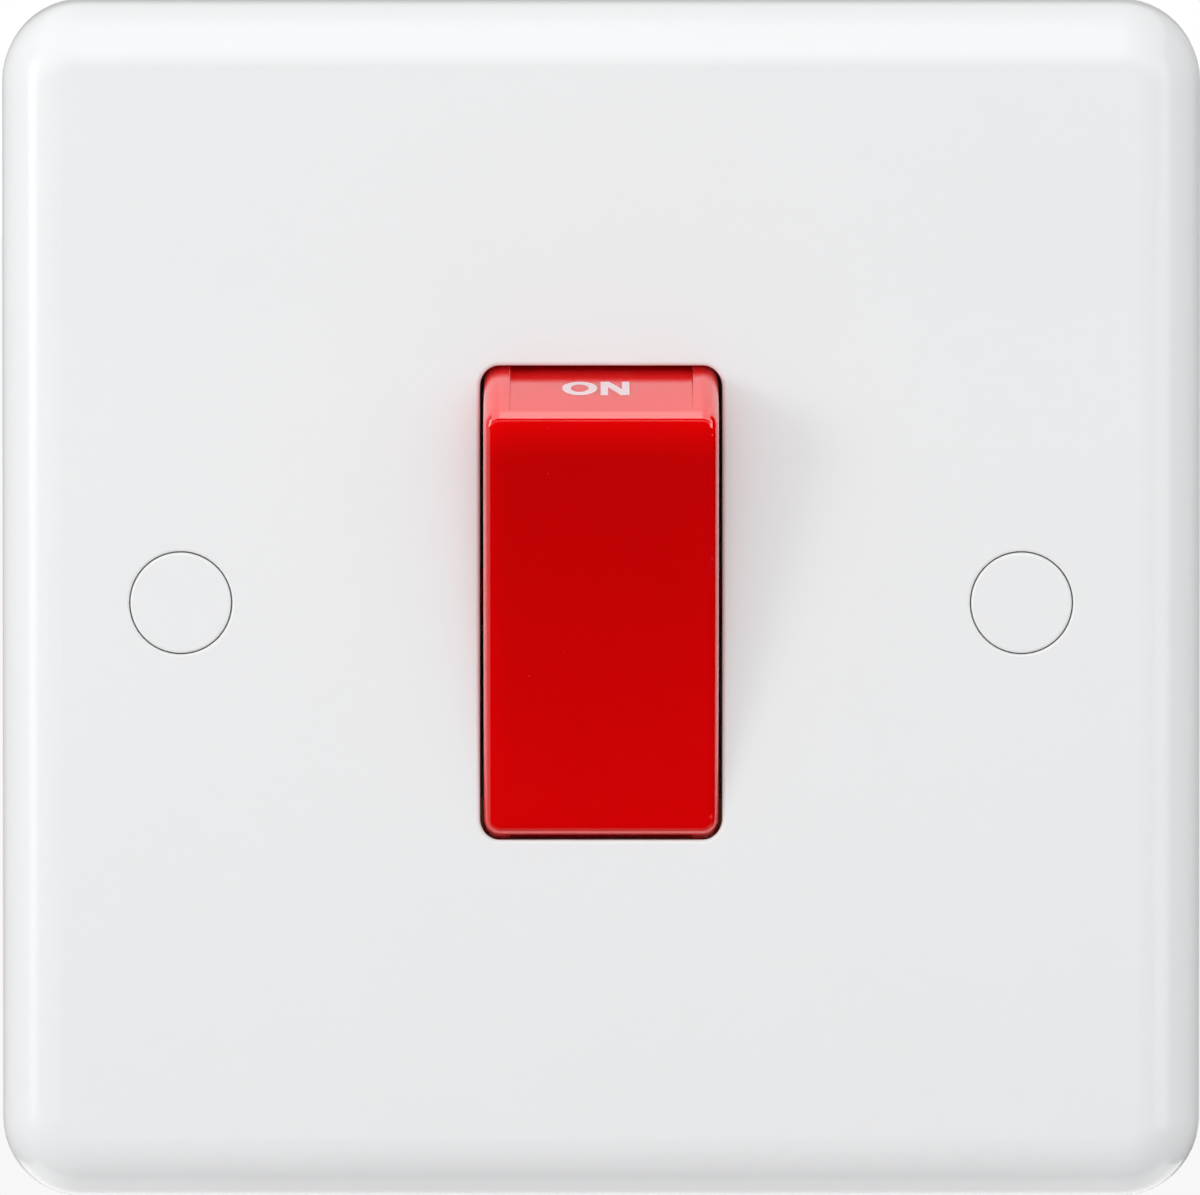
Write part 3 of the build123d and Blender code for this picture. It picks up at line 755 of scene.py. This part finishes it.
@dataclass
class OnMark:
    """The word ON in white ink on the curved panel at the rocker's upper end.

    Attributes:
        cap_height: Height of the letters on the panel.
        o_width: Width of the letter O.
        n_width: Width of the letter N.
        gap: Space between the letters.
        stroke: Width of the O's upright strokes.
        thin: Width of the O's level strokes, at its top and bottom.
        stem: Width of the N's stems.
        bite: Height of the N's diagonal where it meets a stem.
        foot: How far the diagonal of the N stands in from its stem.
        ink: Height of the ink over the panel.
        off_centre: Place of the word's middle from the rocker's, to the right.
        from_front: How far behind the rocker's foremost edge the word's middle lies.
        segments: Sides of the letter O.
        strips: Level strips that the letters are cut into, so that they follow the curve.
    """

    cap_height: float = 1.86 * MM
    o_width: float = 2.5 * MM
    n_width: float = 2.06 * MM
    gap: float = 0.25 * MM
    stroke: float = 0.61 * MM
    thin: float = 0.4 * MM
    stem: float = 0.53 * MM
    bite: float = 0.77 * MM
    foot: float = 0.08 * MM
    ink: float = 0.02 * MM
    off_centre: float = -0.38 * MM
    from_front: float = 2.92 * MM
    segments: int = 64
    strips: int = 10

    def build(self, finishes: Finishes) -> bpy.types.Object:
        """Builds the word and lays it on the panel.

        Args:
            finishes: Materials to take the ink from.

        Returns:
            The piece, riding on the rocker.
        """
        shape = bmesh.new()
        width = self.o_width + self.gap + self.n_width
        self.add_o(shape, (self.o_width - width) / 2)
        self.add_n(shape, (width - self.n_width) / 2)
        for strip in range(1, self.strips):
            level = self.cap_height * (strip / self.strips - 0.5)
            bmesh.ops.bisect_plane(
                shape, geom=shape.verts[:] + shape.edges[:] + shape.faces[:],
                plane_co=(0, level, 0), plane_no=(0, 1, 0),
            )
        grown = bmesh.ops.extrude_face_region(shape, geom=shape.faces[:], use_keep_orig=True)["geom"]
        top = [g for g in grown if isinstance(g, bmesh.types.BMVert)]
        bmesh.ops.translate(shape, vec=(0, 0, self.ink), verts=top)
        bmesh.ops.recalc_face_normals(shape, faces=shape.faces[:])
        self.lay(shape)
        piece = new_piece("on_mark", shape, finishes.get(MARK_INK))
        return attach(piece, Body.ROCKER.value)

    def add_o(self, shape: bmesh.types.BMesh, x: float) -> None:
        """Adds the letter O as a flat ring.

        Args:
            shape: Mesh that gets the letter.
            x: Place of the letter's middle along the word.
        """
        loops = []
        for inset in (0.0, 1.0):
            ring = bmesh.ops.create_circle(shape, segments=self.segments, radius=1.0)["verts"]
            half = (self.o_width / 2 - inset * self.stroke, self.cap_height / 2 - inset * self.thin, 1.0)
            bmesh.ops.scale(shape, vec=half, verts=ring)
            bmesh.ops.translate(shape, vec=(x, 0, 0), verts=ring)
            loops += {e for v in ring for e in v.link_edges}
        bmesh.ops.bridge_loops(shape, edges=loops)

    def add_n(self, shape: bmesh.types.BMesh, x: float) -> None:
        """Adds the letter N as one outline.

        Args:
            shape: Mesh that gets the letter.
            x: Place of the letter's middle along the word.
        """
        right = self.n_width / 2
        top = self.cap_height / 2
        inner = right - self.stem
        half = [
            (-right, -top), (-inner, -top), (-inner, top - self.bite),
            (inner - self.foot, -top), (right, -top),
        ]
        outline = half + [(-a, -b) for a, b in half]
        shape.faces.new([shape.verts.new((x + a, b, 0)) for a, b in outline])

    def lay(self, shape: bmesh.types.BMesh) -> None:
        """Finds the panel by looking down on the rocker and lays each point of the word on it.

        Args:
            shape: The word in its own plane, its height in Z.
        """
        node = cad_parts["rocker"]
        low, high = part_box("rocker")
        surface = BVHTree.FromObject(node, bpy.context.evaluated_depsgraph_get())
        above = Vector((self.off_centre, low.y + self.from_front, 2 * high.z))
        middle, normal, _, _ = surface.ray_cast(above, Vector((0, 0, -1)))
        across = Vector((1, 0, 0))
        upward = normal.cross(across).normalized()
        for vert in shape.verts:
            start = middle + across * vert.co.x + upward * vert.co.y + normal * self.cap_height
            spot, slope, _, _ = surface.ray_cast(start, -normal)
            vert.co = spot + slope * vert.co.z


@dataclass
class Softbox:
    """A soft rectangular lamp that points at the middle of the plate and shows in no reflection.

    Attributes:
        name: Name of the lamp.
        azimuth: Direction round the switch, 0 in front and positive to the right, in degrees.
        elevation: Direction above the horizon, in degrees.
        distance: Distance from the plate.
        width: Width of the lit face.
        height: Height of the lit face.
        level: Brightness of the lit face, where 1 is a white surface.
    """

    name: str
    azimuth: float
    elevation: float
    distance: float
    width: float
    height: float
    level: float

    def build(self) -> bpy.types.Object:
        """Makes the lamp.

        Returns:
            The lamp's object.
        """
        lamp = bpy.data.lights.new(self.name, "AREA")
        lamp.shape = "RECTANGLE"
        lamp.size = self.width
        lamp.size_y = self.height
        lamp.energy = self.level * math.pi * self.width * self.height
        holder = bpy.data.objects.new(self.name, lamp)
        bpy.context.scene.collection.objects.link(holder)
        away = direction(self.azimuth, self.elevation)
        holder.location = away * self.distance
        holder.rotation_euler = away.to_track_quat("Z", "Y").to_euler()
        holder.visible_camera = False
        holder.visible_glossy = False
        return holder


@dataclass
class Card:
    """A flat card that shows in reflections only, to shape them.

    Attributes:
        name: Name of the card.
        azimuth: Direction round the switch, 0 in front and positive to the right, in degrees.
        elevation: Direction above the horizon, in degrees.
        distance: Distance from the plate.
        width: Width of the card.
        height: Height of the card.
        level: Brightness of the card, where 0 is black and 1 is white.
    """

    name: str
    azimuth: float
    elevation: float
    distance: float
    width: float
    height: float
    level: float

    def build(self) -> bpy.types.Object:
        """Makes the card, facing the switch.

        Returns:
            The card's object.
        """
        shape = bmesh.new()
        bmesh.ops.create_grid(shape, x_segments=1, y_segments=1, size=0.5)
        bmesh.ops.scale(shape, vec=(self.width, self.height, 1.0), verts=shape.verts[:])
        away = direction(self.azimuth, self.elevation)
        turn = away.to_track_quat("Z", "Y").to_matrix().to_4x4()
        place = Matrix.Translation(away * self.distance) @ turn
        bmesh.ops.transform(shape, matrix=place, verts=shape.verts[:])
        material = bpy.data.materials.new("Reflection card")
        material.use_nodes = True
        tree = material.node_tree
        tree.nodes.clear()
        shine = add_node(
            tree, "ShaderNodeEmission", values={"Color": linear("#FFFFFF"), "Strength": self.level}
        )
        add_node(tree, "ShaderNodeOutputMaterial", links={"Surface": shine.outputs["Emission"]})
        card = new_piece(self.name, shape, material)
        card.visible_camera = False
        card.visible_diffuse = False
        card.visible_shadow = False
        card.visible_transmission = False
        card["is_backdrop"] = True
        return card


def shown_rays(tree: bpy.types.NodeTree) -> bpy.types.NodeSocket:
    """Tells the rays that show the background from those that light the object.

    Args:
        tree: Node tree of the world or of a material.

    Returns:
        Socket that is 1 for camera, glossy and transmission rays and 0 for the others.
    """
    path = add_node(tree, "ShaderNodeLightPath")
    seen = add_node(
        tree, "ShaderNodeMath", {"operation": "MAXIMUM"},
        links={0: path.outputs["Is Camera Ray"], 1: path.outputs["Is Glossy Ray"]},
    )
    shown = add_node(
        tree, "ShaderNodeMath", {"operation": "MAXIMUM"},
        links={0: seen.outputs["Value"], 1: path.outputs["Is Transmission Ray"]},
    )
    return shown.outputs["Value"]


@dataclass
class Studio:
    """White background, soft lamps, white paper floor and cards that shape the reflections.

    Attributes:
        ambient: Even light from all round, where 1 lights white to white.
        floor_drop: Gap between the plate's lower edge and the floor.
        floor_size: Side of the floor.
        floor_white: Share of plain white in the floor as it is seen, the rest takes the shadow.
        lamps: The soft lamps.
        cards: The cards.
    """

    ambient: float = 0.757
    floor_drop: float = 6.0 * MM
    floor_size: float = 3.0
    floor_white: float = 0.84
    lamps: tuple[Softbox, ...] = (
        Softbox("front_lamp", azimuth=5.0, elevation=12.0, distance=1.5, width=1.4, height=0.9, level=0.56),
        Softbox("upper_lamp", azimuth=0.0, elevation=27.0, distance=0.9, width=0.3, height=0.35, level=2.45),
        Softbox("top_lamp", azimuth=0.0, elevation=70.0, distance=0.9, width=0.3, height=0.4, level=1.1),
        Softbox("left_lamp", azimuth=-62.5, elevation=7.0, distance=0.9, width=0.24, height=0.44, level=6.8),
        Softbox("right_fill", azimuth=112.0, elevation=0.0, distance=0.9, width=2.4, height=1.8, level=0.2),
    )
    cards: tuple[Card, ...] = (
        Card("top_card", azimuth=0.0, elevation=52.0, distance=0.75, width=0.2, height=1.0, level=1.7),
        Card("brow_card", azimuth=0.0, elevation=15.2, distance=0.141, width=0.3, height=0.041, level=0.0),
        Card("front_card", azimuth=0.0, elevation=-31.0, distance=1.2, width=4.6, height=1.36, level=0.0),
        Card("low_card", azimuth=0.0, elevation=-68.0, distance=0.8, width=2.4, height=0.45, level=0.15),
        Card("left_strip", azimuth=-60.5, elevation=7.0, distance=0.88, width=0.24, height=0.44, level=2.3),
        Card("left_card", azimuth=-112.0, elevation=0.0, distance=0.9, width=2.4, height=1.8, level=0.3),
        Card("right_glow", azimuth=47.0, elevation=3.0, distance=1.0, width=0.5, height=0.6, level=1.6),
        Card("right_card", azimuth=112.0, elevation=0.0, distance=0.9, width=2.4, height=1.8, level=0.0),
        Card("back_card", azimuth=180.0, elevation=12.0, distance=0.9, width=2.4, height=0.8, level=0.35),
        Card("under_card", azimuth=180.0, elevation=-57.0, distance=0.9, width=2.4, height=1.05, level=2.1),
    )

    def build(self) -> None:
        """Builds the world, the floor, the lamps and the cards."""
        self.build_world()
        self.build_floor()
        for prop in self.lamps + self.cards:
            prop.build()

    def build_world(self) -> None:
        """Shows white to the eye, to gloss and through clear things, and gives an even fill."""
        world = bpy.data.worlds.new("studio")
        bpy.context.scene.world = world
        world.use_nodes = True
        tree = world.node_tree
        tree.nodes.clear()
        fill = add_node(
            tree, "ShaderNodeBackground", values={"Color": linear("#FFFFFF"), "Strength": self.ambient}
        )
        white = add_node(
            tree, "ShaderNodeBackground", values={"Color": linear("#FFFFFF"), "Strength": 1.0}
        )
        both = add_node(
            tree, "ShaderNodeMixShader",
            links={0: shown_rays(tree), 1: fill.outputs["Background"], 2: white.outputs["Background"]},
        )
        add_node(tree, "ShaderNodeOutputWorld", links={"Surface": both.outputs["Shader"]})

    def build_floor(self) -> None:
        """Lays white paper under the plate, which shows nearly white and keeps the shadow."""
        low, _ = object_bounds()
        shape = bmesh.new()
        bmesh.ops.create_grid(shape, x_segments=1, y_segments=1, size=self.floor_size / 2)
        bmesh.ops.translate(shape, vec=(0, 0, low.z - self.floor_drop), verts=shape.verts[:])
        material = FLOOR_PAPER.material()
        tree = material.node_tree
        paper = tree.nodes["Principled BSDF"].outputs["BSDF"]
        share = add_node(
            tree, "ShaderNodeMath", {"operation": "MULTIPLY"}, {1: self.floor_white}, {0: shown_rays(tree)}
        )
        white = add_node(
            tree, "ShaderNodeEmission", values={"Color": linear("#FFFFFF"), "Strength": 1.0}
        )
        seen = add_node(
            tree, "ShaderNodeMixShader",
            links={0: share.outputs["Value"], 1: paper, 2: white.outputs["Emission"]},
        )
        side = add_node(tree, "ShaderNodeNewGeometry")
        clear = add_node(tree, "ShaderNodeBsdfTransparent")
        one_way = add_node(
            tree, "ShaderNodeMixShader",
            links={0: side.outputs["Backfacing"], 1: seen.outputs["Shader"], 2: clear.outputs["BSDF"]},
        )
        tree.links.new(one_way.outputs["Shader"], tree.nodes["Material Output"].inputs["Surface"])
        floor = new_piece("floor", shape, material)
        floor.visible_glossy = False
        floor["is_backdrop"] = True


@dataclass
class PhotoCamera:
    """Long lens, square on, a little above the middle of the plate.

    Attributes:
        azimuth: Direction round the switch in degrees, negative to the left.
        elevation: Direction above the horizon in degrees.
        distance: Distance from the plate.
        pixels_per_mm: Scale at the wall plane in the photograph's frame.
        aim: Pixel of the frame that the origin falls on.
        sensor: Width of the sensor in millimetres, as Blender counts it.
        reach: Distance up to which the camera sees.
    """

    azimuth: float = 0.0
    elevation: float = 3.5
    distance: float = 2.3
    pixels_per_mm: float = 13.885
    aim: tuple[float, float] = (601.1, 594.8)
    sensor: float = 36.0
    reach: float = 100.0

    def build(self) -> None:
        """Makes the camera and sets it as the scene's."""
        data = bpy.data.cameras.new("photo_camera")
        data.sensor_width = self.sensor
        frame_width, frame_height = IMAGE_SIZE
        focal_pixels = self.pixels_per_mm / MM * self.distance
        data.lens = focal_pixels * self.sensor / frame_width
        data.clip_end = self.reach
        camera = bpy.data.objects.new("photo_camera", data)
        bpy.context.scene.collection.objects.link(camera)
        away = direction(self.azimuth, self.elevation)
        facing = (-away).to_track_quat("-Z", "Y")
        metres_per_pixel = MM / self.pixels_per_mm
        right = facing @ Vector((1, 0, 0))
        upward = facing @ Vector((0, 1, 0))
        slide = right * (frame_width / 2 - self.aim[0]) + upward * (self.aim[1] - frame_height / 2)
        camera.location = away * self.distance + slide * metres_per_pixel
        camera.rotation_euler = facing.to_euler()
        bpy.context.scene.camera = camera


def main() -> None:
    """Builds the looks of the switch and reports each piece."""
    logging.basicConfig(level=logging.INFO, format="%(name)s: %(message)s")
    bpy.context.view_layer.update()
    bpy.context.scene.view_settings.view_transform = "Standard"
    finishes = Finishes()
    finishes.dress_nodes()
    for assembly in (FixingScrews(), PlungerSpring("left"), PlungerSpring("right"), OnMark()):
        piece = assembly.build(finishes)
        log.info("%s: %d faces", piece.name, len(piece.data.polygons))
    Studio().build()
    PhotoCamera().build()


if __name__ == "__main__":
    main()
